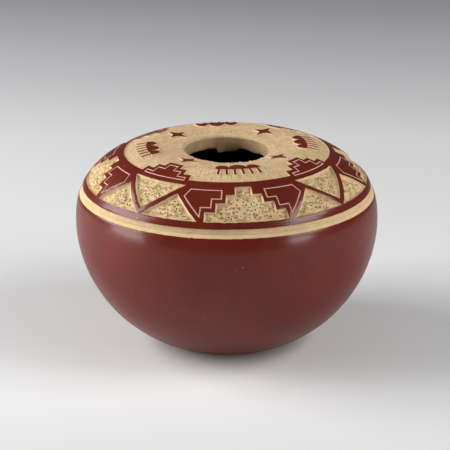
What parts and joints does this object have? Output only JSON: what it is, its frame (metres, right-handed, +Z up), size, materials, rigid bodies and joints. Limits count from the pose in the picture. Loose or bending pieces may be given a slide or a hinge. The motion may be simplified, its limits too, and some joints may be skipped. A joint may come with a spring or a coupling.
{
  "type": "carved pottery bowl",
  "caption": "Small round pottery bowl with a narrow mouth, a sunk collar, a carved shoulder band, a groove and a flat foot, in red slip over buff clay.",
  "frame": {"origin": "middle of the flat foot, on the surface that the bowl stands on", "axes": "+Z up through the middle of the mouth, -Y towards the front, +X to the right seen from the front"},
  "size_m": [0.1, 0.1, 0.0656],
  "materials": {
    "buff_clay": "bare fired clay, matte, scratched and stippled by the carving tool",
    "red_slip": "stone-burnished red slip, satin"
  },
  "bodies": {
    "root": {"clay_body": "buff_clay", "belly_slip": "red_slip", "shoulder_slip": "red_slip", "cloud_slip_1": "red_slip", "cloud_slip_2": "red_slip", "cloud_slip_3": "red_slip", "cloud_slip_4": "red_slip", "star_slip_1": "red_slip", "star_slip_2": "red_slip", "star_slip_3": "red_slip", "star_slip_4": "red_slip"}
  },
  "joints": []
}
